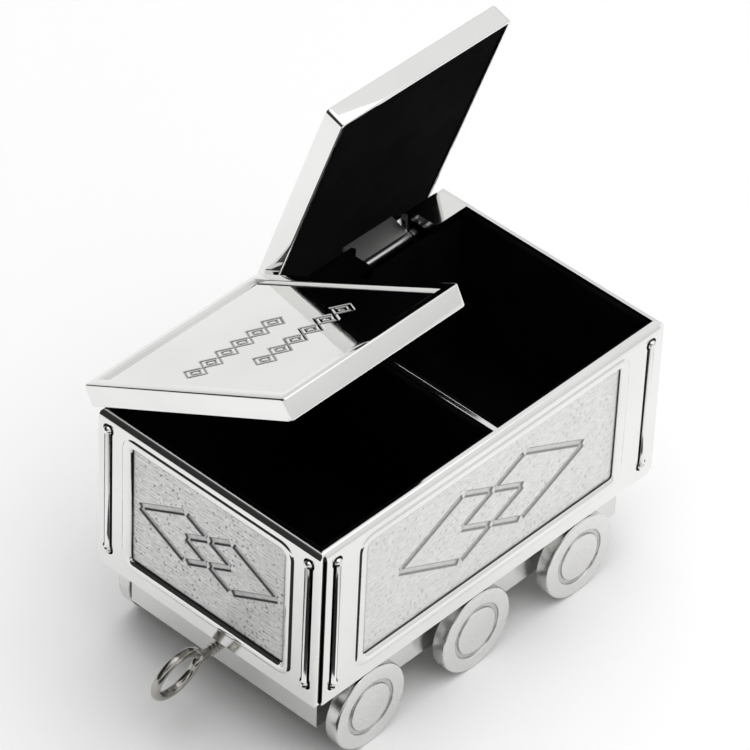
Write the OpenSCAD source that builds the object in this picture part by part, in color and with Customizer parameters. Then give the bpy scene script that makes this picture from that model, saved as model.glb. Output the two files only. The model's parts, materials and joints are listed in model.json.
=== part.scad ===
// Keepsake box in the shape of a small mine wagon: a plated metal tub with two hinged lids,
// a chassis with three wheelsets, and a screw eye as the coupling.
// X runs along the wagon with the screw eye at -X, the lids are hinged along the +Y side,
// and Z is up with the wheels standing on Z = 0. Millimetres.

/* [Tub] */
// Outside length of the tub
body_length = 66; // [52:0.5:90]
// Outside width of the tub
body_width = 40.3; // [36:0.1:60]
// Height of the tub from its underside to the rim
body_height = 26.3; // [20:0.1:40]
// Wall thickness of the tub
wall = 1.3; // [1.2:0.05:1.8]
// Thickness of the tub floor
floor_thickness = 1.3; // [1.2:0.1:2.5]
// Radius of the rounded outer edge of the rim
rim_round = 1.2; // [0.9:0.05:1.25]
// Radius of the upright corner edges
corner_round = 0.4; // [0.2:0.05:0.8]
// Depth of the ledge behind the opening, from the back face
ledge_depth = 5.5; // [5:0.1:8]
// Thickness of the ledge
ledge_thickness = 1.6; // [1.2:0.1:2.2]

/* [Side panels] */
// Distance from an upright corner to the bead's centre line on the long sides
long_panel_inset = 7.8; // [6:0.1:10]
// The same distance on the short sides
short_panel_inset = 5.5; // [4.8:0.1:7]
// Height of the bead's lower centre line above the underside of the tub
panel_bottom_inset = 2.8; // [2.2:0.1:4]
// Depth of the bead's upper centre line below the rim
panel_top_inset = 2.1; // [2:0.1:3]
// Depth of the sunk panel
panel_depth = 0.4; // [0.2:0.05:0.5]
// Radius of the round frame bead
bead_radius = 1.1; // [0.95:0.05:1.2]
// How far the bead's centre lies below the face
bead_sink = 0.8; // [0.7:0.05:0.85]
// Corner radius of the bead's centre line
panel_corner = 1.6; // [1.3:0.1:3]

/* [Diamonds] */
// Half width of a diamond on the long sides
long_diamond_w = 12.1; // [8:0.1:13]
// Half height of a diamond on the long sides
long_diamond_h = 5.9; // [4:0.1:8]
// Half width of a diamond on the short sides
short_diamond_w = 8.5; // [6:0.1:9]
// Half height of a diamond on the short sides
short_diamond_h = 4.3; // [3:0.1:7]
// Distance of a diamond's centre from the middle, as a share of its half width
diamond_offset = 0.49; // [0.4:0.01:0.6]
// Height of the diamonds' centres above the underside of the tub
diamond_z = 14; // [10:0.1:18]
// Width of a groove
groove_width = 1; // [0.6:0.05:1.2]
// Depth of a groove below the sunk panel
groove_depth = 0.3; // [0.1:0.05:0.35]
// Gap left at each end of a groove
groove_gap = 0.35; // [0.3:0.05:0.8]

/* [Ball-ended rods] */
// Distance of a rod from the upright corner on the long sides
long_rod_inset = 2.9; // [2.5:0.1:4]
// The same distance on the short sides
short_rod_inset = 2.2; // [1.8:0.1:3]
// Radius of a rod
rod_radius = 0.42; // [0.3:0.02:0.6]
// Radius of the ball at each end of a rod
ball_radius = 0.65; // [0.5:0.05:0.7]
// Height of the lower balls above the underside of the tub on the long sides
long_rod_bottom = 2.6; // [2:0.1:4]
// The same height on the short sides
short_rod_bottom = 3.2; // [2:0.1:4]
// Depth of the upper balls below the rim
rod_top_drop = 2.3; // [2.2:0.1:4]
// How far a rod's centre line stands off the face
rod_standoff = 0.05; // [0:0.05:0.15]
// Half width of the slot that a rod lies in
slot_half = 0.75; // [0.65:0.05:0.9]
// Radius of the round pocket at each end of the slot
pocket_radius = 0.95; // [0.8:0.05:1]
// Depth of the slot
slot_depth = 0.3; // [0.2:0.05:0.35]

/* [Lining] */
// Thickness of the divider plate
divider_thickness = 0.9; // [0.6:0.1:1.5]
// Position of the divider along the tub
divider_x = 1; // [-3:0.5:3]
// Drop of the divider's top edge below the rim
divider_drop = 0.2; // [0.1:0.1:1]
// Thickness of the velvet-covered lining
liner_thickness = 0.8; // [0.6:0.1:1.2]
// Drop of the lining's top edge below the rim
liner_drop = 0.4; // [0.2:0.1:1]

/* [Lids] */
// Gap between a lid's end and the end face of the tub
lid_end_inset = 0.6; // [0.3:0.1:1.5]
// Half of the gap between the two lids
lid_half_gap = 0.2; // [0.15:0.05:0.5]
// Overhang of a closed lid beyond the back face of the tub
lid_back_overhang = 0.3; // [0:0.1:0.5]
// Inset of a closed lid's free edge from the front long face of the tub
lid_front_inset = 0.1; // [-0.2:0.1:1]
// Thickness of a lid
lid_thickness = 3.2; // [2.8:0.1:4]
// Gap between a closed lid and the rim
lid_gap = 0.4; // [0.3:0.05:0.8]
// Wall thickness of a lid's rim
lid_wall = 0.55; // [0.4:0.05:0.8]
// Thickness of a lid's top plate
lid_plate = 0.7; // [0.5:0.1:1]
// Width of the raised border on top of a lid
lid_border = 1.8; // [1.2:0.1:3]
// Depth of the sunk field on top of a lid
lid_sink = 0.4; // [0.2:0.05:0.6]
// How far the velvet board lies inside the rim's lower edge
board_inset = 0.15; // [0.1:0.05:0.4]
// Opening angle at which the front lid stands
front_rest_angle = 29; // [0:0.5:90]
// Opening angle at which the rear lid stands
rear_rest_angle = 71.5; // [0:0.5:90]

/* [Hinges] */
// Distance of a hinge from the middle of the tub
hinge_x = 19.5; // [16:0.1:22]
// Length of the barrel rolled on a lid's hinge tab
barrel_length = 9.6; // [6:0.1:11]
// Outside radius of the barrel
barrel_radius = 0.65; // [0.6:0.05:0.8]
// Thickness of the hinge tab
tab_thickness = 0.8; // [0.6:0.05:1]
// Radius of the hinge pin
pin_radius = 0.35; // [0.3:0.01:0.4]
// Running clearance of the barrel on its pin
pin_clearance = 0.05; // [0.03:0.01:0.08]
// Depth of the hinge line below the rim
hinge_drop = 3.05; // [2.9:0.05:3.3]
// Distance of the hinge line from the inside of the back wall
hinge_wall_gap = 0.75; // [0.7:0.05:0.9]
// Thickness of an ear of the hinge bracket
ear_thickness = 1; // [0.8:0.1:1.4]
// Gap between the barrel and an ear
ear_gap = 0.15; // [0.1:0.05:0.3]
// Outside radius of an ear
ear_radius = 0.7; // [0.65:0.05:0.75]
// Thickness of the bracket's back plate
bracket_plate = 0.7; // [0.5:0.1:0.8]
// Depth of the hinge notch below the rim
notch_depth = 4.1; // [4:0.1:5]
// Gap between the outside of an ear and the end of the notch in the ledge
notch_gap = 0.25; // [0.2:0.05:0.5]
// Gap between an end of the barrel and the end of the notch in the back wall
wall_notch_gap = 0.3; // [0.2:0.05:0.5]

/* [Chassis] */
// Metal of the chassis walls below the axles' centre line
axle_cover = 1.05; // [0.9:0.05:4]
// Inset of the chassis from each end of the tub
chassis_end_inset = 3.55; // [2.5:0.05:6]
// Inset of the chassis from each long side of the tub
chassis_side_inset = 3.15; // [3:0.05:5]
// Wall thickness of the chassis
chassis_wall = 1.35; // [1:0.05:2]
// Thickness of the chassis top plate
chassis_plate = 1.2; // [1:0.1:2]
// Radius of a chassis screw's shank
screw_radius = 0.6; // [0.5:0.05:0.8]
// Radius of a chassis screw's head
screw_head_radius = 1.3; // [1:0.1:1.6]
// Height of a chassis screw's head
screw_head_height = 0.7; // [0.5:0.1:1]
// Depth to which a chassis screw enters the tub floor
screw_bite = 0.9; // [0.6:0.05:1]
// Distance of the screws from the chassis ends and sides
screw_inset = 5; // [4:0.1:7]

/* [Wheels] */
// Diameter of a wheel
wheel_diameter = 13; // [10.5:0.1:16]
// Thickness of a wheel
wheel_thickness = 2.1; // [1.5:0.1:2.6]
// Gap between the top of a wheel and the underside of the tub
wheel_top_gap = 0.35; // [0.3:0.05:1.5]
// Distance between neighbouring wheels
wheel_spacing = 20.5; // [16:0.1:24]
// Position of the middle wheelset along the tub
wheel_offset = -1.9; // [-3:0.1:3]
// Radius of an axle
axle_radius = 0.6; // [0.5:0.05:0.65]
// Running clearance of an axle in the chassis
axle_clearance = 0.06; // [0.03:0.01:0.09]
// How far an axle end stands out of its wheel
axle_end = 0.06; // [0.02:0.01:0.2]
// Inside radius of the ring channel in a wheel's face, as a share of the wheel's radius
channel_inner_share = 0.55; // [0.45:0.01:0.58]
// Outside radius of the ring channel, as a share of the wheel's radius
channel_outer_share = 0.66; // [0.62:0.01:0.8]
// Depth of the ring channel
channel_depth = 0.35; // [0.2:0.05:0.6]

/* [Screw eye] */
// Radius of the eye's wire
wire_radius = 0.64; // [0.5:0.02:0.8]
// Radius of the eye's loop, at the wire's centre
loop_radius = 3.76; // [3:0.05:5]
// Radius over the threads of the shank
thread_radius = 0.85; // [0.7:0.05:1]
// Length of thread outside the chassis
thread_outside = 3.2; // [1.5:0.1:5]
// Length of plain shank between the thread and the bend
shank_plain = 0.65; // [0.3:0.05:2]
// Radius of the bend between shank and loop, at the wire's centre
eye_bend = 1.3; // [1:0.1:2]
// Gap between the loop's free end and the shank
loop_end_gap = 0.35; // [0.2:0.05:1]
// Turn of the loop about the shank, from upright
loop_turn = 12; // [0:1:45]
// Radius of the nut behind the chassis wall, over its corners
nut_radius = 2; // [1.6:0.1:2.6]
// Thickness of the nut
nut_thickness = 1.5; // [1:0.1:2]
// Length of thread standing out of the nut
nut_show = 0.4; // [0.2:0.1:1]

/* [Hidden] */

$fn = 64;
eps = 1;

plate = [0.86, 0.86, 0.87];
bright_plate = [0.93, 0.93, 0.94];
velvet = [0.03, 0.03, 0.035];
steel = [0.62, 0.60, 0.55];

half_l = body_length / 2;
half_w = body_width / 2;
tub_z = wheel_diameter + wheel_top_gap;
rim_z = tub_z + body_height;
inner_l = half_l - wall;
inner_w = half_w - wall;
ledge_y = half_w - ledge_depth;
liner_floor_z = tub_z + floor_thickness;

hinge_y = inner_w - hinge_wall_gap;
hinge_z = rim_z - hinge_drop;
lid_back_y = half_w + lid_back_overhang;
lid_front_y = -half_w + lid_front_inset;
lid_z = rim_z + lid_gap;
lid_inner_x = lid_half_gap;
lid_outer_x = half_l - lid_end_inset;
ear_inner = barrel_length / 2 + ear_gap;
ear_outer = ear_inner + ear_thickness;
notch_half = ear_outer + notch_gap;
wall_notch_half = barrel_length / 2 + wall_notch_gap;

chassis_half_l = half_l - chassis_end_inset;
chassis_half_w = half_w - chassis_side_inset;
axle_z = wheel_diameter / 2;
chassis_z = axle_z - axle_cover;
eye_z = (tub_z + chassis_z) / 2;
eye_face_x = -chassis_half_l;
collar_length = 0.06;
collar_rise = 0.02;
bend_angle = asin(eye_bend / (loop_radius + eye_bend));
shank_start = (loop_radius + eye_bend) * cos(bend_angle);
loop_end = asin((wire_radius + loop_end_gap) / (loop_radius - wire_radius));
loop_x = eye_face_x - thread_outside - shank_plain - shank_start;

// Box between two corner points
module span(low, high) {
    translate(low)
        cube([high[0] - low[0], high[1] - low[1], high[2] - low[2]]);
}

// Tool that rounds one edge along X, for a corner at the origin with the solid towards -Y and -Z
module edge_cutter(length, radius) {
    difference() {
        span([-length / 2, -radius, -radius], [length / 2, eps, eps]);
        translate([0, -radius, -radius])
            rotate([0, 90, 0])
                cylinder(h = length + eps, r = radius, center = true);
    }
}

// Places its children on a face of the tub: local X along the face, Y up, Z outwards,
// with the origin at the middle of the face's lower edge. Faces: 0 near side, 1 rear end,
// 2 far side, 3 front end.
module on_face(face) {
    reach = face % 2 == 0 ? half_w : half_l;
    translate([0, 0, tub_z])
        rotate([0, 0, 90 * face])
            translate([0, -reach, 0])
                rotate([90, 0, 0])
                    children();
}

function face_half(face) = face % 2 == 0 ? half_l : half_w;
function panel_half(face) = face_half(face) - (face % 2 == 0 ? long_panel_inset : short_panel_inset);
function panel_high() = body_height - panel_top_inset;
function rod_x(face) = face_half(face) - (face % 2 == 0 ? long_rod_inset : short_rod_inset);
function rod_low(face) = face % 2 == 0 ? long_rod_bottom : short_rod_bottom;
function rod_high() = body_height - rod_top_drop;

// Rectangle with round corners, from circles and squares
module round_rectangle(half, low, high, radius) {
    translate([-half + radius, low])
        square([2 * (half - radius), high - low]);
    translate([-half, low + radius])
        square([2 * half, high - low - 2 * radius]);
    for (x = [-half + radius, half - radius])
        for (y = [low + radius, high - radius])
            translate([x, y])
                circle(r = radius);
}

// Half-round bead round a panel, its centre line a rectangle with round corners
module bead(half, low, high, radius) {
    straight_x = half - radius;
    for (y = [low, high])
        translate([0, y, 0])
            rotate([0, 90, 0])
                cylinder(h = 2 * straight_x, r = bead_radius, center = true);
    for (x = [-half, half])
        translate([x, low + radius, 0])
            rotate([-90, 0, 0])
                cylinder(h = high - low - 2 * radius, r = bead_radius);
    for (corner = [[1, 1, 0], [-1, 1, 90], [-1, -1, 180], [1, -1, 270]])
        translate([corner[0] * straight_x, corner[1] > 0 ? high - radius : low + radius, 0])
            rotate([0, 0, corner[2]])
                rotate_extrude(angle = 90)
                    translate([radius, 0])
                        circle(r = bead_radius);
}

// One straight groove between two points, stopping short of each by the gap
module groove(from, to) {
    run = to - from;
    translate(from)
        rotate([0, 0, atan2(run[1], run[0])])
            translate([groove_gap, -groove_width / 2])
                square([norm(run) - 2 * groove_gap, groove_width]);
}

// The grooves of two interlaced diamonds, centred at the origin
module diamonds(half_wide, half_high) {
    shift = diamond_offset * half_wide;
    cross_high = half_high * (1 - diamond_offset);
    for (side = [-1, 1])
        for (up = [-1, 1]) {
            groove([side * (shift + half_wide), 0], [side * shift, up * half_high]);
            groove([side * shift, up * half_high], [0, up * cross_high]);
            groove([0, up * cross_high], [side * (shift - half_wide), 0]);
        }
}

// Cut for one face: the sunk panel and the grooves in its floor
module panel_cut(face) {
    half = panel_half(face);
    on_face(face) {
        translate([0, 0, -panel_depth])
            linear_extrude(panel_depth + eps)
                round_rectangle(half, panel_bottom_inset, panel_high(), panel_corner);
        translate([0, diamond_z, -panel_depth - groove_depth])
            linear_extrude(groove_depth + eps)
                diamonds(face % 2 == 0 ? long_diamond_w : short_diamond_w,
                    face % 2 == 0 ? long_diamond_h : short_diamond_h);
    }
}

// Slots with round end pockets for the two rods of one face
module slot_cut(face) {
    on_face(face)
        for (x = [-rod_x(face), rod_x(face)])
            translate([x, 0, -slot_depth])
                linear_extrude(slot_depth + eps) {
                    translate([-slot_half, rod_low(face)])
                        square([2 * slot_half, rod_high() - rod_low(face)]);
                    for (y = [rod_low(face), rod_high()])
                        translate([0, y])
                            circle(r = pocket_radius);
                }
}

// Bead of one face's panel
module panel_bead(face) {
    on_face(face)
        translate([0, 0, -bead_sink])
            bead(panel_half(face), panel_bottom_inset, panel_high(), panel_corner);
}

// Tub with rounded rim, sunk panels with beads, a ledge behind the opening and two hinge notches
module tub() {
    color(plate)
        difference() {
            union() {
                difference() {
                    span([-half_l, -half_w, tub_z], [half_l, half_w, rim_z]);
                    for (side = [0, 180])
                        rotate([0, 0, side]) {
                            translate([0, half_w, rim_z])
                                edge_cutter(body_length + 2 * eps, rim_round);
                            translate([half_l, 0, rim_z])
                                rotate([0, 0, -90])
                                    edge_cutter(body_width + 2 * eps, rim_round);
                            for (y = [-1, 1])
                                translate([half_l, y * half_w, tub_z + body_height / 2])
                                    rotate([0, -90, 0])
                                        rotate([y > 0 ? 0 : 90, 0, 0])
                                            edge_cutter(body_height + 2 * eps, corner_round);
                        }
                    for (face = [0:3]) {
                        panel_cut(face);
                        slot_cut(face);
                    }
                }
                for (face = [0:3])
                    panel_bead(face);
            }
            span([-inner_l, -inner_w, liner_floor_z], [inner_l, ledge_y, rim_z + eps]);
            span([-inner_l, 0, liner_floor_z], [inner_l, inner_w, rim_z - ledge_thickness]);
            for (x = [-hinge_x, hinge_x]) {
                span([x - notch_half, ledge_y - eps, rim_z - notch_depth],
                    [x + notch_half, inner_w, rim_z + eps]);
                span([x - wall_notch_half, inner_w - eps, rim_z - notch_depth],
                    [x + wall_notch_half, half_w + eps, rim_z + eps]);
            }
            for (x = [-1, 1])
                for (y = [-1, 1])
                    translate([x * (chassis_half_l - screw_inset), y * (chassis_half_w - screw_inset),
                        tub_z - eps])
                        cylinder(h = eps + screw_bite, r = screw_radius);
        }
}

// Two ball-ended rods of one face, with a flat back on the floor of their slots
module rods(face) {
    low = rod_low(face);
    high = rod_high();
    color(bright_plate)
        on_face(face)
            for (x = [-rod_x(face), rod_x(face)])
                translate([x, 0, 0])
                    intersection() {
                        union() {
                            translate([0, low, rod_standoff])
                                rotate([-90, 0, 0])
                                    cylinder(h = high - low, r = rod_radius);
                            for (y = [low, high])
                                translate([0, y, rod_standoff])
                                    sphere(r = ball_radius);
                        }
                        span([-eps, 0, -slot_depth], [eps, body_height, 2 * eps]);
                    }
}

// Plate that parts the two compartments, stepped to pass under the ledge
module divider() {
    low_x = divider_x - divider_thickness / 2;
    high_x = divider_x + divider_thickness / 2;
    color(bright_plate)
        union() {
            span([low_x, -inner_w, liner_floor_z], [high_x, ledge_y, rim_z - divider_drop]);
            span([low_x, -inner_w, liner_floor_z], [high_x, inner_w, rim_z - ledge_thickness]);
        }
}

// Velvet-covered tray in one compartment, from low_x to high_x
module liner(low_x, high_x) {
    back = ledge_y + liner_thickness;
    color(velvet)
        difference() {
            union() {
                span([low_x, -inner_w, liner_floor_z], [high_x, ledge_y, rim_z - liner_drop]);
                span([low_x, -inner_w, liner_floor_z], [high_x, back, rim_z - ledge_thickness]);
            }
            span([low_x + liner_thickness, -inner_w + liner_thickness, liner_floor_z + liner_thickness],
                [high_x - liner_thickness, ledge_y, rim_z]);
        }
}

// Turns its children about the hinge line to an opening angle
module opened(angle) {
    translate([0, hinge_y, hinge_z])
        rotate([-angle, 0, 0])
            translate([0, -hinge_y, -hinge_z])
                children();
}

// Closed lid on the side given by sign: a tray upside down with a sunk field on top
module closed_lid(sign) {
    low_x = sign > 0 ? lid_inner_x : -lid_outer_x;
    high_x = sign > 0 ? lid_outer_x : -lid_inner_x;
    top = lid_z + lid_thickness;
    difference() {
        span([low_x, lid_front_y, lid_z], [high_x, lid_back_y, top]);
        span([low_x + lid_border, lid_front_y + lid_border, top - lid_sink],
            [high_x - lid_border, lid_back_y - lid_border, top + eps]);
        span([low_x + lid_wall, lid_front_y + lid_wall, lid_z - eps],
            [high_x - lid_wall, lid_back_y - lid_wall, top - lid_sink - lid_plate]);
    }
}

module lid(sign, angle) {
    color(bright_plate)
        opened(angle)
            closed_lid(sign);
}

// Velvet-covered board inside a lid, slotted for the hinge tab
module board(sign, angle) {
    low_x = sign > 0 ? lid_inner_x : -lid_outer_x;
    high_x = sign > 0 ? lid_outer_x : -lid_inner_x;
    tab_x = sign * hinge_x;
    color(velvet)
        opened(angle)
            difference() {
                span([low_x + lid_wall, lid_front_y + lid_wall, lid_z + board_inset],
                    [high_x - lid_wall, lid_back_y - lid_wall,
                        lid_z + lid_thickness - lid_sink - lid_plate]);
                span([tab_x - barrel_length / 2, hinge_y - tab_thickness / 2, lid_z - eps],
                    [tab_x + barrel_length / 2, hinge_y + tab_thickness / 2, lid_z + lid_thickness]);
            }
}

// Hinge tab: a plate that hangs from the lid, rolled into a barrel at its lower edge
module tab(sign, angle) {
    color(bright_plate)
        opened(angle)
            translate([sign * hinge_x, hinge_y, hinge_z])
                difference() {
                    union() {
                        span([-barrel_length / 2, -tab_thickness / 2, 0],
                            [barrel_length / 2, tab_thickness / 2,
                                lid_z + lid_thickness - lid_sink - lid_plate - hinge_z]);
                        rotate([0, 90, 0])
                            cylinder(h = barrel_length, r = barrel_radius, center = true);
                    }
                    rotate([0, 90, 0])
                        cylinder(h = barrel_length + eps, r = pin_radius + pin_clearance, center = true);
                }
}

module pin(sign) {
    color(steel)
        translate([sign * hinge_x, hinge_y, hinge_z])
            rotate([0, 90, 0])
                cylinder(h = 2 * ear_outer, r = pin_radius, center = true);
}

// Bracket on the back wall with two ears that hold the hinge pin
module bracket(sign) {
    plate_y = inner_w - bracket_plate;
    ear_low = rim_z - notch_depth - hinge_drop;
    color(plate)
        translate([sign * hinge_x, 0, 0])
            difference() {
                union() {
                    span([-ear_outer, plate_y, ear_low],
                        [ear_outer, inner_w, hinge_z - barrel_radius - 2 * ear_gap]);
                    for (side = [-1, 1])
                        translate([side * (ear_inner + ear_outer) / 2, hinge_y, hinge_z]) {
                            rotate([0, 90, 0])
                                cylinder(h = ear_thickness, r = ear_radius, center = true);
                            span([-ear_thickness / 2, -ear_radius, ear_low - hinge_z],
                                [ear_thickness / 2, inner_w - hinge_y, 0]);
                        }
                }
                translate([0, hinge_y, hinge_z])
                    rotate([0, 90, 0])
                        cylinder(h = 2 * ear_outer + eps, r = pin_radius, center = true);
            }
}

// Chassis: a box open underneath, bored for the axles, the screws and the screw eye
module chassis() {
    color(plate)
        difference() {
            span([-chassis_half_l, -chassis_half_w, chassis_z], [chassis_half_l, chassis_half_w, tub_z]);
            span([-chassis_half_l + chassis_wall, -chassis_half_w + chassis_wall, chassis_z - eps],
                [chassis_half_l - chassis_wall, chassis_half_w - chassis_wall, tub_z - chassis_plate]);
            for (i = [-1:1])
                translate([wheel_x(i), 0, axle_z])
                    rotate([90, 0, 0])
                        cylinder(h = body_width, r = axle_radius + axle_clearance, center = true);
            for (x = [-1, 1])
                for (y = [-1, 1])
                    translate([x * (chassis_half_l - screw_inset), y * (chassis_half_w - screw_inset),
                        tub_z - chassis_plate - eps])
                        cylinder(h = chassis_plate + 2 * eps, r = screw_radius);
            translate([eye_face_x, 0, eye_z])
                rotate([0, 90, 0])
                    cylinder(h = 2 * chassis_wall + eps, r = thread_radius, center = true);
        }
}

function wheel_x(i) = wheel_offset + i * wheel_spacing;

// Screw that holds the chassis to the tub floor
module chassis_screw(x, y) {
    color(steel)
        translate([x * (chassis_half_l - screw_inset), y * (chassis_half_w - screw_inset),
            tub_z - chassis_plate]) {
            cylinder(h = chassis_plate + screw_bite, r = screw_radius);
            translate([0, 0, -screw_head_height])
                cylinder(h = screw_head_height, r = screw_head_radius);
        }
}

module axle(i) {
    color(steel)
        translate([wheel_x(i), 0, axle_z])
            rotate([90, 0, 0])
                cylinder(h = 2 * (half_w + axle_end), r = axle_radius, center = true);
}

// Wheel with a ring channel in its outer face; side is -1 for the near side
module wheel(i, side) {
    radius = wheel_diameter / 2;
    color(bright_plate)
        translate([wheel_x(i), side * half_w, axle_z])
            rotate([90 * side, 0, 0])
                difference() {
                    cylinder(h = wheel_thickness, r = radius);
                    translate([0, 0, -eps])
                        cylinder(h = wheel_thickness + 2 * eps, r = axle_radius);
                    translate([0, 0, -eps])
                        difference() {
                            cylinder(h = channel_depth + eps, r = channel_outer_share * radius);
                            cylinder(h = channel_depth + eps, r = channel_inner_share * radius);
                        }
                }
}

// Thin collar where two lengths of the eye's wire meet, at the origin and across X
module wire_collar() {
    rotate([0, 90, 0])
        cylinder(h = collar_length, r = wire_radius + collar_rise, center = true);
}

// Screw eye: threaded shank, an S-bend and a loop whose end stops short of the shank
module screw_eye() {
    shank_inside = chassis_wall + nut_thickness + nut_show;
    color(steel)
        translate([loop_x, 0, eye_z])
            rotate([loop_turn, 0, 0]) {
                translate([shank_start, 0, 0])
                    rotate([0, 90, 0])
                        cylinder(h = shank_plain + thread_outside, r = wire_radius);
                translate([shank_start + shank_plain, 0, 0])
                    rotate([0, 90, 0])
                        cylinder(h = thread_outside + shank_inside, r = thread_radius);
                translate([shank_start, 0, 0])
                    wire_collar();
                rotate([90, 0, 0]) {
                    translate([shank_start, -eye_bend, 0])
                        rotate([0, 0, 90])
                            rotate_extrude(angle = 90 - bend_angle)
                                translate([eye_bend, 0])
                                    circle(r = wire_radius);
                    rotate([0, 0, -bend_angle])
                        translate([loop_radius, 0, 0])
                            rotate([0, 0, 90])
                                wire_collar();
                    rotate([0, 0, loop_end])
                        rotate_extrude(angle = 360 - loop_end - bend_angle)
                            translate([loop_radius, 0])
                                circle(r = wire_radius);
                }
            }
}

// Nut on the eye's shank, behind the chassis wall
module eye_nut() {
    color(steel)
        translate([eye_face_x + chassis_wall, 0, eye_z])
            rotate([0, 90, 0])
                difference() {
                    cylinder(h = nut_thickness, r = nut_radius, $fn = 6);
                    translate([0, 0, -eps])
                        cylinder(h = nut_thickness + 2 * eps, r = thread_radius);
                }
}

tub();
rods(0);  // rods_near_side
rods(2);  // rods_far_side
rods(3);  // rods_front_end
rods(1);  // rods_rear_end
divider();
liner(-inner_l, divider_x - divider_thickness / 2);  // liner_front
liner(divider_x + divider_thickness / 2, inner_l);  // liner_rear
lid(-1, front_rest_angle);  // lid_front
lid(1, rear_rest_angle);  // lid_rear
board(-1, front_rest_angle);  // board_front
board(1, rear_rest_angle);  // board_rear
tab(-1, front_rest_angle);  // tab_front
tab(1, rear_rest_angle);  // tab_rear
pin(-1);  // pin_front
pin(1);  // pin_rear
bracket(-1);  // bracket_front
bracket(1);  // bracket_rear
chassis();
chassis_screw(-1, -1);  // chassis_screw_1
chassis_screw(1, -1);  // chassis_screw_2
chassis_screw(1, 1);  // chassis_screw_3
chassis_screw(-1, 1);  // chassis_screw_4
axle(-1);  // axle_1
axle(0);  // axle_2
axle(1);  // axle_3
wheel(-1, -1);  // wheel_1_near
wheel(-1, 1);  // wheel_1_far
wheel(0, -1);  // wheel_2_near
wheel(0, 1);  // wheel_2_far
wheel(1, -1);  // wheel_3_near
wheel(1, 1);  // wheel_3_far
screw_eye();
eye_nut();
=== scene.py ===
import bpy
import json
import math
import numpy as np
from mathutils import Matrix, Vector


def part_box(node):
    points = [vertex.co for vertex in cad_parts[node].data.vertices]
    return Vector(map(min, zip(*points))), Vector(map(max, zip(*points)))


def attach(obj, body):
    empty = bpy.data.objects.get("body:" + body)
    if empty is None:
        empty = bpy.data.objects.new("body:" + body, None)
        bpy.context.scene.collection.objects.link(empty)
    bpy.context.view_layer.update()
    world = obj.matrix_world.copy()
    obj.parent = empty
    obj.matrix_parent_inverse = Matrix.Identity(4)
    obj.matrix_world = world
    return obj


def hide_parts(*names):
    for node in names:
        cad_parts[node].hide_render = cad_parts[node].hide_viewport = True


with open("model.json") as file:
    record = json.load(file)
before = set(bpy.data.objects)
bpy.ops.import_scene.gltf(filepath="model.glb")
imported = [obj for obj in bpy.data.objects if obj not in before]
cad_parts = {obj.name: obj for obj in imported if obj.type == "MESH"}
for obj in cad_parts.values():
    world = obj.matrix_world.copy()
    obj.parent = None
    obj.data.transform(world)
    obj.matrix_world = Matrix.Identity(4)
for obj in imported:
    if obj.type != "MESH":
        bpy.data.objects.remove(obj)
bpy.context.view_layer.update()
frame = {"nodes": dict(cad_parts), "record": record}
record = frame["record"]
MM = 0.001

# ---------------------------------------------------------------- sizes taken from the model
joints = {j["name"]: j for j in record["behaviour"]["joints"]}
HINGE_Y, HINGE_Z = joints["front_lid_hinge"]["pos_m"][1:]
HINGE_X = joints["rear_lid_hinge"]["pos_m"][0]
WHEEL_X = [joints[f"wheelset_{i}_spin"]["pos_m"][0] for i in (1, 2, 3)]
WHEEL_Z = joints["wheelset_1_spin"]["pos_m"][2]
HALF_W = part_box("wheel_1_far")[1][1]
TUB_LOW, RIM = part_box("tub")[0][2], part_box("tub")[1][2]
DIVIDER_X0, DIVIDER_X1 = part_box("divider")[0][0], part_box("divider")[1][0]
EYE_X = [m for m in record["mounts"] if m["name"] == "coupling_eye"][0]["pos_m"][0]
EYE_Z = [m for m in record["mounts"] if m["name"] == "coupling_eye"][0]["pos_m"][2]
HALF_L = 33 * MM
WALL = 1.3 * MM
LEDGE_Y = HALF_W - 5.5 * MM
FRONT_OPEN, REAR_OPEN = math.radians(29), math.radians(71.5)


# ---------------------------------------------------------------- mesh tools
def grid_faces(rows, cols, wrap_cols=False, wrap_rows=False, start=0):
    """Quads of a rows by cols grid of points counted row by row; either way may close on itself."""
    r = np.arange(rows if wrap_rows else rows - 1)[:, None]
    c = np.arange(cols if wrap_cols else cols - 1)[None, :]
    r2, c2 = (r + 1) % rows, (c + 1) % cols
    quads = np.stack([r * cols + c + 0 * r, r * cols + c2, r2 * cols + c2, r2 * cols + c], axis=-1)
    return quads.reshape(-1, 4) + start


def fan(ring, centre, flip=False):
    """Triangles from each pair of neighbours on a closed ring of point numbers to one centre point."""
    nxt = np.roll(ring, -1)
    tri = np.stack([ring, nxt, np.full_like(ring, centre)], axis=-1)
    return tri[:, ::-1] if flip else tri


def piece(name, points, faces, material, body, stands_for=(), sharp=35, tarnish=None):
    """A mesh object in the model's own frame, smooth up to the sharp angle, riding on a body.
    The darkening argument is a value from 0 to 1 for each point, tarnish and painted shade, kept for the
    material."""
    mesh = bpy.data.meshes.new(name)
    mesh.from_pydata(np.asarray(points, float).tolist(), [], [list(map(int, f)) for g in faces for f in g])
    mesh.validate()
    mesh.shade_smooth()
    mesh.set_sharp_from_angle(angle=math.radians(sharp))
    mesh.materials.append(material)
    # Each point's darkening is kept as an attribute: tarnish, and painted shade where a piece paints it.
    if tarnish is not None:
        values = np.zeros(len(mesh.vertices), np.float32)
        values[:len(tarnish)] = tarnish
        mesh.attributes.new("tarnish", "FLOAT", "POINT").data.foreach_set("value", values)
    obj = bpy.data.objects.new(name, mesh)
    bpy.context.scene.collection.objects.link(obj)
    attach(obj, body)
    if stands_for:
        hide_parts(*stands_for)
    return obj


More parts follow.
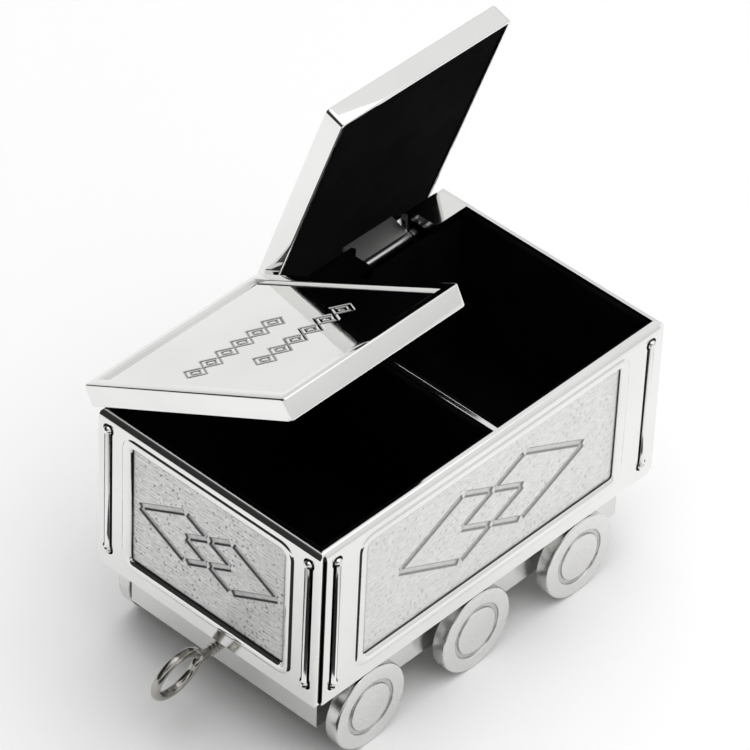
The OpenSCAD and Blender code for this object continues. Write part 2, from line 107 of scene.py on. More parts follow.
def fillet(corners, radii, steps=5):
    """Open outline through the corners, each inner corner turned into an arc of its radius."""
    corners = np.asarray(corners, float)
    out = [corners[:1]]
    for before, here, after, radius in zip(corners[:-2], corners[1:-1], corners[2:], radii):
        a = (before - here) / np.linalg.norm(before - here)
        b = (after - here) / np.linalg.norm(after - here)
        half = math.acos(max(-1, min(1, float(a @ b)))) / 2
        if radius <= 0 or half > math.radians(88):
            out.append(here[None])
            continue
        cut = radius / math.tan(half)
        centre = here + (a + b) / np.linalg.norm(a + b) * radius / math.sin(half)
        t = np.linspace(0, 1, steps)[:, None]
        chord = (here + a * cut) * (1 - t) + (here + b * cut) * t - centre
        out.append(centre + chord / np.linalg.norm(chord, axis=1, keepdims=True) * radius)
    out.append(corners[-1:])
    return np.concatenate(out)


def lathe(profile, turn, segments=72):
    """Profile of (radius, height) turned round the height axis; both ends lie on the axis.
    turn maps local (x, y, height) to the model's frame."""
    profile = np.asarray(profile, float)
    inner = profile[1:-1]
    angle = np.linspace(0, 2 * np.pi, segments, endpoint=False)
    x = inner[:, :1] * np.cos(angle)
    y = inner[:, :1] * np.sin(angle)
    z = np.repeat(inner[:, 1:], segments, axis=1)
    points = np.stack([x, y, z], axis=-1).reshape(-1, 3)
    points = np.concatenate([points, [[0, 0, profile[0, 1]], [0, 0, profile[-1, 1]]]])
    n, count = len(inner), len(points)
    faces = [grid_faces(n, segments, wrap_cols=True),
             fan(np.arange(segments), count - 2, flip=True),
             fan(np.arange(segments) + (n - 1) * segments, count - 1)]
    return turn(points), faces


def merge(parts):
    """Several (points, faces) pairs as one."""
    points, faces, start = [], [], 0
    for p, groups in parts:
        points.append(p)
        faces += [g + start for g in groups]
        start += len(p)
    return np.concatenate(points), faces


def rounded_rings(x0, x1, y0, y1, radius, insets, heights, stations=(), steps=6, least=0.06 * MM):
    """Rings of points: a rectangle with round corners shrunk by each inset and lifted to each height.
    stations are extra places in y on the two sides that run along Y; where a ring is shrunk past the
    corner radius they close up in step with its straight run."""
    insets = np.asarray(insets, float)[:, None]
    r = np.maximum(radius - insets, least)
    corner = np.linspace(0, np.pi / 2, steps)[None, :]
    share = (np.asarray(stations, float)[None, :] - y0 - radius) / (y1 - y0 - 2 * radius)
    ys = y0 + insets + r + share * (y1 - y0 - 2 * insets - 2 * r)
    cols_x, cols_y = [], []
    for k, (cx, cy) in enumerate([(x1, y1), (x0, y1), (x0, y0), (x1, y0)]):
        a = corner + k * np.pi / 2
        sx = np.where(cx == x1, -1, 1)
        sy = np.where(cy == y1, -1, 1)
        cols_x.append(cx + sx * (insets + r) + r * np.cos(a))
        cols_y.append(cy + sy * (insets + r) + r * np.sin(a))
        if k == 1 and len(stations):
            cols_x.append(np.repeat(x0 + insets, len(stations), axis=1))
            cols_y.append(ys[:, ::-1])
        if k == 3 and len(stations):
            cols_x.append(np.repeat(x1 - insets, len(stations), axis=1))
            cols_y.append(ys)
    x, y = np.concatenate(cols_x, axis=1), np.concatenate(cols_y, axis=1)
    z = np.repeat(np.asarray(heights, float)[:, None], x.shape[1], axis=1)
    return np.stack([x, y, z], axis=-1)


def slab(x, y, top, bottom, turn):
    """Closed slab: a grid of heights top[y, x] over x and y (lists, or grids of them), a skirt down to
    bottom, and a fan below."""
    gx, gy = np.meshgrid(x, y) if x.ndim == 1 else (x, y)
    rows, cols = gx.shape
    points = np.stack([gx, gy, top], axis=-1).reshape(-1, 3)
    n = np.arange(rows * cols).reshape(rows, cols)
    ring = np.concatenate([n[0, :-1], n[:-1, -1], n[-1, :0:-1], n[:0:-1, 0]])
    low = points[ring].copy()
    low[:, 2] = bottom
    centre = [[float(x.mean()), float(y.mean()), bottom]]
    base = np.arange(len(ring)) + len(points)
    skirt = np.stack([ring, base, np.roll(base, -1), np.roll(ring, -1)], axis=-1)
    faces = [grid_faces(rows, cols), skirt, fan(base, len(points) + len(ring), flip=True)]
    return turn(np.concatenate([points, low, centre])), faces


def soft_noise(x, y, scale, seed):
    """Smooth unevenness from -1 to 1: a sum of sine waves in turned directions."""
    rng = np.random.default_rng(seed)
    total = np.zeros(np.broadcast(x, y).shape)
    for i in range(6):
        a, ph, s = rng.uniform(0, 2 * np.pi), rng.uniform(0, 2 * np.pi), scale * rng.uniform(0.6, 1.6)
        total = total + np.sin((x * math.cos(a) + y * math.sin(a)) * 2 * np.pi / s + ph)
    return total / 6


# ---------------------------------------------------------------- materials
def new_material(name, colour, metallic, roughness):
    """A principled material and its tools."""
    m = bpy.data.materials.new(name)
    m.use_nodes = True
    nodes, links = m.node_tree.nodes, m.node_tree.links
    bsdf = nodes["Principled BSDF"]
    bsdf.inputs["Base Color"].default_value = (*colour, 1)
    bsdf.inputs["Metallic"].default_value = metallic
    bsdf.inputs["Roughness"].default_value = roughness
    coords = nodes.new("ShaderNodeTexCoord")
    return m, nodes, links, bsdf, coords


def noise(nodes, links, coords, scale, detail=3, stretch=(1, 1, 1)):
    """Noise in the model's own coordinates; scale is in waves per metre."""
    mapping = nodes.new("ShaderNodeMapping")
    mapping.inputs["Scale"].default_value = stretch
    links.new(coords.outputs["Object"], mapping.inputs["Vector"])
    tex = nodes.new("ShaderNodeTexNoise")
    tex.inputs["Scale"].default_value = scale
    tex.inputs["Detail"].default_value = detail
    links.new(mapping.outputs["Vector"], tex.inputs["Vector"])
    return tex


def spread(nodes, links, source, low, high, from_low=0.3, from_high=0.7):
    """Maps a noise output onto a range of values."""
    r = nodes.new("ShaderNodeMapRange")
    r.inputs["From Min"].default_value = from_low
    r.inputs["From Max"].default_value = from_high
    r.inputs["To Min"].default_value = low
    r.inputs["To Max"].default_value = high
    links.new(source, r.inputs["Value"])
    return r.outputs["Result"]


def two_tone(nodes, links, source, dark, light):
    """Mixes two colours by a value from 0 to 1."""
    mix = nodes.new("ShaderNodeMix")
    mix.data_type = "RGBA"
    mix.inputs["A"].default_value = (*dark, 1)
    mix.inputs["B"].default_value = (*light, 1)
    links.new(source, mix.inputs["Factor"])
    return mix.outputs["Result"]


def bump(nodes, links, bsdf, source, depth, strength=1.0, under=None):
    """Bump of a real depth in metres."""
    b = nodes.new("ShaderNodeBump")
    b.inputs["Strength"].default_value = strength
    b.inputs["Distance"].default_value = depth
    links.new(source, b.inputs["Height"])
    if under:
        links.new(under.outputs["Normal"], b.inputs["Normal"])
    links.new(b.outputs["Normal"], bsdf.inputs["Normal"])
    return b


def tarnished_and_shaded(nodes, links, bsdf, metal, amount):
    """Darkens a metal's colour by an amount from 0 to 1: tarnish and painted shade."""
    mix = nodes.new("ShaderNodeMix")
    mix.data_type = "RGBA"
    mix.inputs["B"].default_value = (0.025, 0.025, 0.027, 1)
    links.new(amount, mix.inputs["Factor"])
    links.new(metal, mix.inputs["A"])
    links.new(mix.outputs["Result"], bsdf.inputs["Base Color"])


def drawn_tarnish_and_shade(nodes):
    """The tarnish and painted shade kept at a piece's points."""
    mark = nodes.new("ShaderNodeAttribute")
    mark.attribute_name = "tarnish"
    return mark.outputs["Fac"]


def smooth_step(nodes, links, value, start, end):
    """Smooth step from 0 at start to 1 at end."""
    r = nodes.new("ShaderNodeMapRange")
    r.interpolation_type = "SMOOTHSTEP"
    r.inputs["From Min"].default_value, r.inputs["From Max"].default_value = start, end
    links.new(value, r.inputs["Value"])
    return r.outputs["Result"]


def product(nodes, links, a, b, operation="MULTIPLY"):
    """Two values combined, multiplied unless another operation is named."""
    m = nodes.new("ShaderNodeMath")
    m.operation = operation
    links.new(a, m.inputs[0])
    links.new(b, m.inputs[1])
    return m.outputs["Value"]


def recess_patina_and_shade(nodes, links, coords):
    """Patina and painted shade in the hollows of the tub's outside: 1 a little below a side's face, 0 on the
    face, near the upright corners and near the rim. Depth is the face's reach less the absolute coordinate."""
    split = nodes.new("ShaderNodeSeparateXYZ")
    links.new(coords.outputs["Object"], split.inputs["Vector"])
    size = {}
    for axis in "XY":
        m = nodes.new("ShaderNodeMath")
        m.operation = "ABSOLUTE"
        links.new(split.outputs[axis], m.inputs[0])
        size[axis] = m.outputs["Value"]
    total = None
    # Each side's hollow is darkened, part patina and part painted shade.
    for axis, other, reach, reach_other in (("X", "Y", HALF_L, HALF_W), ("Y", "X", HALF_W, HALF_L)):
        hollow = smooth_step(nodes, links, size[axis], reach - 0.10 * MM, reach - 0.24 * MM)
        hollow = product(nodes, links, hollow,
                         smooth_step(nodes, links, size[axis], reach - 1.0 * MM, reach - 0.9 * MM))
        hollow = product(nodes, links, hollow,
                         smooth_step(nodes, links, size[other], reach_other - 0.8 * MM, reach_other - 1.0 * MM))
        total = hollow if total is None else product(nodes, links, total, hollow, "MAXIMUM")
    return product(nodes, links, total,
                   smooth_step(nodes, links, split.outputs["Z"], RIM - 1.25 * MM, RIM - 1.35 * MM))


def polished(name, colour, roughness, wave=0.000004, smear=0.05, recess=False):
    """Polished plate: faint slow waviness, fine pores and a haze that varies. Tarnish and painted shade
    come from the tub's hollows or from the piece's points."""
    m, nodes, links, bsdf, coords = new_material(name, colour, 1.0, roughness)
    slow = noise(nodes, links, coords, 55, 2)
    haze = noise(nodes, links, coords, 260, 4)
    links.new(spread(nodes, links, haze.outputs["Fac"], roughness, roughness + smear),
              bsdf.inputs["Roughness"])
    tint = [c * 0.93 for c in colour]
    metal = two_tone(nodes, links, spread(nodes, links, slow.outputs["Fac"], 0, 1), tint, colour)
    # The metal is darkened by tarnish and painted shade, taken from the hollows or from the piece's points.
    tarnished_and_shaded(nodes, links, bsdf, metal,
              recess_patina_and_shade(nodes, links, coords) if recess else drawn_tarnish_and_shade(nodes))
    wavy = bump(nodes, links, bsdf, slow.outputs["Fac"], wave * 12)
    fine = noise(nodes, links, coords, 2600, 2)
    bump(nodes, links, bsdf, fine.outputs["Fac"], wave * 0.4, 1.0, wavy)
    return m


def hatched(name, along, dark, light):
    """Satin cast ground: fine strokes along one axis with pits between them, and darker by the tarnish and
    painted shade kept at its points.
    """
    m, nodes, links, bsdf, coords = new_material(name, (0.72, 0.72, 0.72), 1.0, 0.36)
    thin = (0.18, 1, 1) if along == "x" else (1, 0.18, 1)
    strokes = noise(nodes, links, coords, 6500, 2, thin)
    pits = noise(nodes, links, coords, 7000, 2)
    links.new(spread(nodes, links, pits.outputs["Fac"], 0.28, 0.44), bsdf.inputs["Roughness"])
    metal = two_tone(nodes, links, spread(nodes, links, strokes.outputs["Fac"], 0, 1, 0.35, 0.62),
                     dark, light)
    tarnished_and_shaded(nodes, links, bsdf, metal, drawn_tarnish_and_shade(nodes))
    first = bump(nodes, links, bsdf, strokes.outputs["Fac"], 0.00009)
    bump(nodes, links, bsdf, pits.outputs["Fac"], 0.00003, 1.0, first)
    return m


def pile(name):
    """Black velvet: short pile with a very faint sheen and slightly lighter brushed patches."""
    m, nodes, links, bsdf, coords = new_material(name, (0.002, 0.002, 0.0025), 0.0, 0.95)
    bsdf.inputs["Specular IOR Level"].default_value = 0.01
    bsdf.inputs["Sheen Weight"].default_value = 0.012
    bsdf.inputs["Sheen Roughness"].default_value = 0.45
    patch = noise(nodes, links, coords, 130, 4)
    fibre = noise(nodes, links, coords, 5200, 2)
    links.new(two_tone(nodes, links, spread(nodes, links, patch.outputs["Fac"], 0, 1),
                       (0.0010, 0.0010, 0.0014), (0.0034, 0.0034, 0.0044)), bsdf.inputs["Base Color"])
    first = bump(nodes, links, bsdf, patch.outputs["Fac"], 0.0002)
    bump(nodes, links, bsdf, fibre.outputs["Fac"], 0.00008, 1.0, first)
    return m


SHELL = polished("polished_plate_shell", (0.86, 0.858, 0.845), 0.07, recess=True)
LID_PLATE = polished("mirror_plate_lids", (0.88, 0.878, 0.865), 0.03, 0.000003, 0.04)
RIB = polished("bright_plate_ribs", (0.86, 0.86, 0.85), 0.06)
UNDER = polished("satin_plate_chassis", (0.74, 0.738, 0.725), 0.22, 0.000006)
HAZE = polished("hazed_plate_tabs", (0.62, 0.62, 0.61), 0.28, 0.000004)
# The brackets are the same plate as the rest, given a dark colour as painted shade round the hinge.
BRACKET_SHADE = polished("dull_plate_brackets", (0.30, 0.30, 0.295), 0.30, 0.000004)
WHEEL = polished("satin_plate_wheels", (0.76, 0.757, 0.745), 0.15, 0.000010, 0.22)
WIRE = polished("drawn_steel", (0.44, 0.425, 0.39), 0.14, 0.000008, 0.1)
GROUND_X = hatched("hatched_ground_long", "x", (0.72, 0.72, 0.715), (0.85, 0.85, 0.84))
# The ends' ground is the same cast metal as the long sides'; its darker colours are painted shade.
GROUND_Y_SHADED = hatched("hatched_ground_end", "y", (0.60, 0.60, 0.595), (0.80, 0.80, 0.79))
VELVET = pile("black_velvet")

cad_look = {"tub": SHELL, "divider": RIB, "chassis": UNDER, "eye_nut": WIRE}
for node in frame["nodes"]:
    obj = frame["nodes"][node]
    look = cad_look.get(node)
    if look is None:
        # Brackets take the dark plate that paints shade.
        look = BRACKET_SHADE if node.startswith("bracket") else WIRE
        if node.startswith(("lid", "rods", "wheel")):
            look = LID_PLATE
        if node.startswith("tab"):
            look = HAZE
        if node.startswith(("board", "liner")):
            look = VELVET
    obj.data.materials.clear()
    obj.data.materials.append(look)


# ---------------------------------------------------------------- sunk panels with their grooves
LONG_BEAD, SHORT_BEAD = 7.8 * MM, 5.5 * MM
BEAD_LOW, BEAD_HIGH = 2.8 * MM, RIM - TUB_LOW - 2.1 * MM
NOTCH_HALF, NOTCH_FLOOR = 5.1 * MM, RIM - TUB_LOW - 4.1 * MM


def side_frame(face):
    """Turns local (along the face, up, outwards) into the model's frame for face 0 near side,
    1 rear end, 2 far side, 3 front end."""
    a = face * math.pi / 2
    reach = HALF_W if face % 2 == 0 else HALF_L
    along = np.array([math.cos(a), math.sin(a), 0])
    out = np.array([math.sin(a), -math.cos(a), 0])
    return lambda p: (p[:, :1] * along + p[:, 1:2] * np.array([0, 0, 1]) + (p[:, 2:] + reach) * out
                      + np.array([0, 0, TUB_LOW]))


def stroke_distance(x, y, start, end, gap, half_width):
    """Square distance from a straight stroke's centre line: the larger of the distance across it and
    the distance past its shortened end, so a stroke of half_width has square ends."""
    start, end = np.asarray(start, float), np.asarray(end, float)
    run = end - start
    length = np.linalg.norm(run)
    unit = run / length
    middle = (start + end) / 2
    t = (x - middle[0]) * unit[0] + (y - middle[1]) * unit[1]
    across = np.abs((x - middle[0]) * unit[1] - (y - middle[1]) * unit[0])
    return np.maximum(across, np.abs(t) - (length / 2 - gap) + half_width)


def diamond_distance(x, y, wide, high, share, gap, half_width):
    """Square distance to the twelve strokes of two interlaced diamonds centred at the origin."""
    shift, cross = share * wide, high * (1 - share)
    nearest = np.full(np.broadcast(x, y).shape, 1.0)
    for side in (-1, 1):
        for up in (-1, 1):
            far, top = (side * (shift + wide), 0), (side * shift, up * high)
            mid, near = (0, up * cross), (side * (shift - wide), 0)
            for a, b in ((far, top), (top, mid), (mid, near)):
                nearest = np.minimum(nearest, stroke_distance(x, y, a, b, gap, half_width))
    return nearest


def panel_ground(name, face):
    """Ground of a sunk panel: rows of shallow strokes, and the diamonds' flat-bottomed grooves.
    Height is the sum of slow unevenness, broken scratches at an even pitch, pits, a small lip round
    each groove and the groove: full depth inside its half width, rising over a narrow wall. The
    scratches and the pits are tarnished. The wall and its foot and the panel's border are darkened,
    part patina and part painted shade, and the ends' stronger darkening than the long sides' is painted
    shade. On the far side the columns under the hinge notches end at the notch's floor."""
    long = face % 2 == 0
    half = (HALF_L - LONG_BEAD if long else HALF_W - SHORT_BEAD) - 0.6 * MM
    low, high = BEAD_LOW + 0.6 * MM, BEAD_HIGH - 0.6 * MM
    wide, tall = (12.1 * MM, 5.9 * MM) if long else (8.5 * MM, 4.3 * MM)
    step, groove_half = 0.11 * MM, 0.45 * MM
    x = np.linspace(-half, half, int(2 * half / step))
    in_notch = (np.abs(np.abs(x) - HINGE_X) < NOTCH_HALF + 0.1 * MM) & (face == 2)
    column_top = np.where(in_notch, NOTCH_FLOOR - 0.05 * MM, high)
    gx, share = np.meshgrid(x, np.linspace(0, 1, int((high - low) / step)))
    gy = low + share * (column_top - low)
    d = diamond_distance(gx, gy - 14 * MM, wide, tall, 0.49, 0.42 * MM, groove_half)
    groove = np.clip((groove_half - d) / (0.1 * MM), 0, 1) * 0.24 * MM
    lip = np.exp(-((d - groove_half - 0.12 * MM) / (0.12 * MM)) ** 2) * 0.03 * MM
    pitch = 0.6 * MM
    phase = (gy / pitch + 0.16 * soft_noise(gx, gy, 9 * MM, 3)) % 1 - 0.5
    scratch = np.exp(-(phase * pitch / (0.09 * MM)) ** 2)
    scratch *= np.clip(0.45 + 1.1 * soft_noise(gx, gy * 4, 3.5 * MM, 5), 0, 1)
    pit = np.clip((soft_noise(gx, gy, 0.75 * MM, 13) + soft_noise(gx, gy, 0.6 * MM, 17)
                   + 0.3 * soft_noise(gx, gy, 8 * MM, 19) - 0.62) / 0.2, 0, 1)
    outside = np.clip((d - groove_half) / (0.2 * MM), 0, 1)
    rough = (scratch * 0.03 + pit * 0.035) * MM
    top = -0.335 * MM + (soft_noise(gx, gy, 3 * MM, 7) * 0.008 * MM - rough) * outside + lip - groove
    # Darkening at the groove's wall and foot, and along the border below: part patina, part painted shade. The
    # larger factors on the ends are painted shade.
    tarnish = np.clip(1 - np.abs(d - groove_half + 0.02 * MM) / (0.15 * MM), 0, 1) ** 0.5
    tarnish = np.maximum(tarnish, (d < groove_half) * 0.15) * (0.7 if long else 1)
    edge = np.minimum(half - np.abs(gx), np.minimum(gy - low, high - gy)) - 0.42 * MM
    tarnish = np.maximum(tarnish, np.clip(1 - edge / (0.28 * MM), 0, 1) * (0.7 if long else 0.9))
    tarnish = np.maximum(tarnish, (scratch * 0.34 + pit * 0.55) * outside * (0.42 if long else 1))
    points, faces = slab(gx, gy, top, -0.66 * MM, side_frame(face))
    return piece(name, points, faces, GROUND_X if long else GROUND_Y_SHADED, "wagon", sharp=60,
                 tarnish=tarnish.ravel())


panel_ground("ground_near_side", 0)
panel_ground("ground_rear_end", 1)
panel_ground("ground_far_side", 2)
panel_ground("ground_front_end", 3)


# ---------------------------------------------------------------- ball-ended rods
ROD_PROUD = 0.05 * MM


def rod_profile(low, high):
    """Half outline of a rod with a ball at each end: each ball's arc runs from its pole to the angle
    where its radius equals the rod's."""
    ball, rod = 0.65 * MM, 0.42 * MM
    a = np.linspace(-np.pi / 2, math.acos(rod / ball), 10)
    lower = np.stack([ball * np.cos(a), low + ball * np.sin(a)], axis=-1)
    upper = np.stack([lower[::-1, 0], low + high - lower[::-1, 1]], axis=-1)
    return np.concatenate([lower, upper])


def rod_pair(name, face):
    """Two rods on one face, in their slots, with their centre lines just proud of it."""
    long = face % 2 == 0
    reach = (HALF_L - 2.9 * MM) if long else (HALF_W - 2.2 * MM)
    foot, top = (2.6 if long else 3.2) * MM, RIM - TUB_LOW - 2.3 * MM
    place = side_frame(face)
    parts = []
    for side in (-1, 1):
        def turn(p, side=side):
            return place(np.stack([side * reach + p[:, 0], p[:, 2], ROD_PROUD - p[:, 1]], axis=-1))
        parts.append(lathe(rod_profile(foot, top), turn, 32))
    points, faces = merge(parts)
    return piece(name, points, faces, RIB, "wagon", (name.replace("rod_pair", "rods"),), 50)


rod_pair("rod_pair_near_side", 0)
rod_pair("rod_pair_rear_end", 1)
rod_pair("rod_pair_far_side", 2)
rod_pair("rod_pair_front_end", 3)


# ---------------------------------------------------------------- wheels
def wheel(name, x, side, body):
    """Turned wheel: flat rim, ring channel darkened at its foot as painted shade, and a centre disc with a low
    dome.
    """
    radius, thick = WHEEL_Z, 2.1 * MM
    deep = thick - 0.35 * MM
    corners = np.array([(0, 0), (radius, 0), (radius, thick), (0.665 * radius, thick),
                        (0.65 * radius, deep), (0.56 * radius, deep), (0.545 * radius, thick),
                        (0.34 * radius, thick), (0.24 * radius, thick + 0.08 * MM), (0, thick + 0.09 * MM)])
    radii = np.array([0.18, 0.3, 0.1, 0.12, 0.12, 0.1, 1.2, 0.8]) * MM
    profile = fillet(corners, radii)
    # The ring channel's darkening is painted shade.
    in_channel = (profile[:, 1] < thick - 0.06 * MM) & (np.abs(profile[:, 0] / radius - 0.605) < 0.08)
    tarnish = np.repeat(np.where(in_channel, 0.25, 0.0)[1:-1], 96)

    def turn(p):
        out = side * (HALF_W - thick + p[:, 2])
        return np.stack([x + p[:, 0] * -side, out, WHEEL_Z + p[:, 1]], axis=-1)
    points, faces = lathe(profile, turn, 96)
    return piece(name, points, faces, WHEEL, body, (name.replace("turned_", ""),), 40,
                 tarnish)


for i in (1, 2, 3):
    wheel(f"turned_wheel_{i}_near", WHEEL_X[i - 1], -1, f"wheelset_{i}")
    wheel(f"turned_wheel_{i}_far", WHEEL_X[i - 1], 1, f"wheelset_{i}")


# ---------------------------------------------------------------- lids
def lid_frame(angle):
    """Turns a closed lid's points about the hinge line to its opening angle."""
    c, s = math.cos(angle), math.sin(angle)

    def turn(p):
        u, w = p[:, 1] - HINGE_Y, p[:, 2] - HINGE_Z
        return np.stack([p[:, 0], HINGE_Y + u * c + w * s, HINGE_Z - u * s + w * c], axis=-1)
    return turn


LID_Z = RIM + 0.4 * MM
LID_TOP = LID_Z + 3.2 * MM
LID_Y0, LID_Y1 = -HALF_W + 0.1 * MM, HALF_W + 0.3 * MM
BORDER = 1.8 * MM


def lozenge_chain(x, y, length, high, count):
    """Distance to a chain of lozenges, each with a smaller one inside, centred at the origin."""
    wide = length / count / 2
    nearest = np.full(np.broadcast(x, y).shape, 1.0)
    for k in range(count):
        cx = (k - (count - 1) / 2) * 2 * wide
        for share in (1.0, 0.45):
            d = np.abs(np.abs(x - cx) / (wide * share) + np.abs(y) / (high * share) - 1)
            nearest = np.minimum(nearest, d * share * wide * high / math.hypot(wide, high))
    inside = (np.abs(x) < length / 2 + 0.3 * MM) & (np.abs(y) < high + 0.3 * MM)
    return np.where(inside, nearest, 1.0)


def lid_field(name, x0, x1, angle, body, engraved):
    """Sunk field on top of a lid, with two engraved lozenge chains where it is engraved.
    Height is the plate's level less a round groove along each line."""
    inner = 0.02 * MM
    a, b = x0 + BORDER - inner, x1 - BORDER + inner
    y0, y1 = LID_Y0 + BORDER - inner, LID_Y1 - BORDER + inner
    level = LID_TOP - 0.4 * MM
    x = np.linspace(a, b, 241 if engraved else 25)
    y = np.linspace(y0, y1, 301 if engraved else 31)
    gx, gy = np.meshgrid(x, y)
    top = np.full(gx.shape, level) + 0.004 * MM * soft_noise(gx, gy, 30 * MM, 11)
    tarnish = np.zeros(gx.shape)
    if engraved:
        span_x, span_y = x1 - x0, LID_Y1 - LID_Y0
        for across, down in ((0.40, 0.41), (0.54, 0.63)):
            cx, cy = x0 + across * span_x, LID_Y1 - down * span_y
            d = lozenge_chain(gx - cx, gy - cy, 17 * MM, 2.3 * MM, 6)
            top = top - np.clip(1 - (d / (0.24 * MM)) ** 2, 0, 1) * 0.13 * MM
            tarnish = np.maximum(tarnish, np.clip(1.25 - d / (0.2 * MM), 0, 1) * 0.85)
    points, faces = slab(x, y, top, level - 0.5 * MM, lid_frame(angle))
    return piece(name, points, faces, LID_PLATE, body, sharp=50, tarnish=tarnish.ravel())


def lid_rim(name, x0, x1, angle, body, node):
    """Lid's raised border, outer sides and lower rim as one closed moulding swept round the lid."""
    step = LID_TOP - 0.4 * MM
    under = step - 0.7 * MM
    wall = 0.55 * MM
    corners = np.array([(BORDER, under), (BORDER, step), (BORDER, LID_TOP), (0, LID_TOP), (0, LID_Z),
                        (wall, LID_Z), (wall, under), (BORDER, under)])
    radii = np.array([0, 0.12, 0.28, 0.2, 0.15, 0.1]) * MM
    outline = fillet(corners, radii, 5)[:-1]
    rings = rounded_rings(x0, x1, LID_Y0, LID_Y1, 0.7 * MM, outline[:, 0], outline[:, 1])
    rows, cols = rings.shape[:2]
    points = lid_frame(angle)(rings.reshape(-1, 3))
    faces = [grid_faces(rows, cols, wrap_cols=True, wrap_rows=True)[:, ::-1]]
    return piece(name, points, faces, LID_PLATE, body, (node,), 40)


def lid_velvet(name, x0, x1, angle, body, node):
    """Velvet-covered board: a flat cushion whose face rolls off at the edges and is slightly uneven."""
    wall = 0.57 * MM
    a, b, y0, y1 = x0 + wall, x1 - wall, LID_Y0 + wall, LID_Y1 - wall
    x, y = np.linspace(a, b, 90), np.linspace(y0, y1, 112)
    gx, gy = np.meshgrid(x, y)
    edge = np.minimum(np.minimum(gx - a, b - gx), np.minimum(gy - y0, y1 - gy))
    roll = np.clip(1 - edge / (0.5 * MM), 0, 1) ** 2 * 0.35 * MM
    depth = 1.9 * MM - roll + 0.03 * MM * (soft_noise(gx, gy, 7 * MM, 21) - 1)
    mirror_z = lambda p: np.stack([p[:, 0], -p[:, 1], -p[:, 2]], axis=-1)
    turn = lid_frame(angle)
    points, faces = slab(x, -y[::-1], depth[::-1] - (LID_TOP - 1.1 * MM), -(LID_TOP - 1.1 * MM),
                         lambda p: turn(mirror_z(p)))
    return piece(name, points, faces, VELVET, body, (node,), 60)


for label, body, angle in (("front", "front_lid", FRONT_OPEN), ("rear", "rear_lid", REAR_OPEN)):
    low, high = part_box(f"lid_{label}")
    lid_rim(f"{label}_lid_rim", low[0], high[0], angle, body, f"lid_{label}")
    lid_field(f"{label}_lid_field", low[0], high[0], angle, body, label == "front")
    lid_velvet(f"{label}_lid_velvet", low[0], high[0], angle, body, f"board_{label}")


# ---------------------------------------------------------------- velvet linings
def lining(name, x0, x1, node):
    """Open velvet tray: rings from the outer foot over the rounded top edge, down the inner wall,
    round a soft fillet and across the floor. The back wall stops under the ledge."""
    y0, y1 = -HALF_W + WALL, LEDGE_Y + 0.8 * MM
    foot, thick, radius = TUB_LOW + WALL, 0.8 * MM, 0.9 * MM
    top = RIM - 0.4 * MM
    corners = np.array([(0, foot), (0, top), (thick, top), (thick, foot + thick), (4 * MM, foot + thick),
                        (7 * MM, foot + thick)])
    outline = fillet(corners, np.array([0.3, 0.38, 1.2, 0]) * MM, 8)
    stations = np.append(np.linspace(y0 + 3 * MM, y1 - radius - 0.3 * MM, 14), y1 - radius - 0.02 * MM)
    rings = rounded_rings(x0, x1, y0, y1, radius, outline[:, 0], outline[:, 1], stations, least=0.1 * MM)
    back = rings[..., 1] > y1 - radius - 0.01 * MM
    rings[..., 2] = np.where(back, np.minimum(rings[..., 2], RIM - 1.62 * MM), rings[..., 2])
    rows, cols = rings.shape[:2]
    points = rings.reshape(-1, 3)
    middle = [(x0 + x1) / 2, (y0 + y1) / 2]
    points = np.concatenate([points, [[*middle, foot + thick]], [[*middle, foot]]])
    count = len(points)
    faces = [grid_faces(rows, cols, wrap_cols=True),
             fan(np.arange(cols) + (rows - 1) * cols, count - 2),
             fan(np.arange(cols), count - 1, flip=True)]
    return piece(name, points, faces, VELVET, "wagon", (node,), 60)


lining("lining_front", -HALF_L + WALL, DIVIDER_X0, "liner_front")
lining("lining_rear", DIVIDER_X1, HALF_L - WALL, "liner_rear")


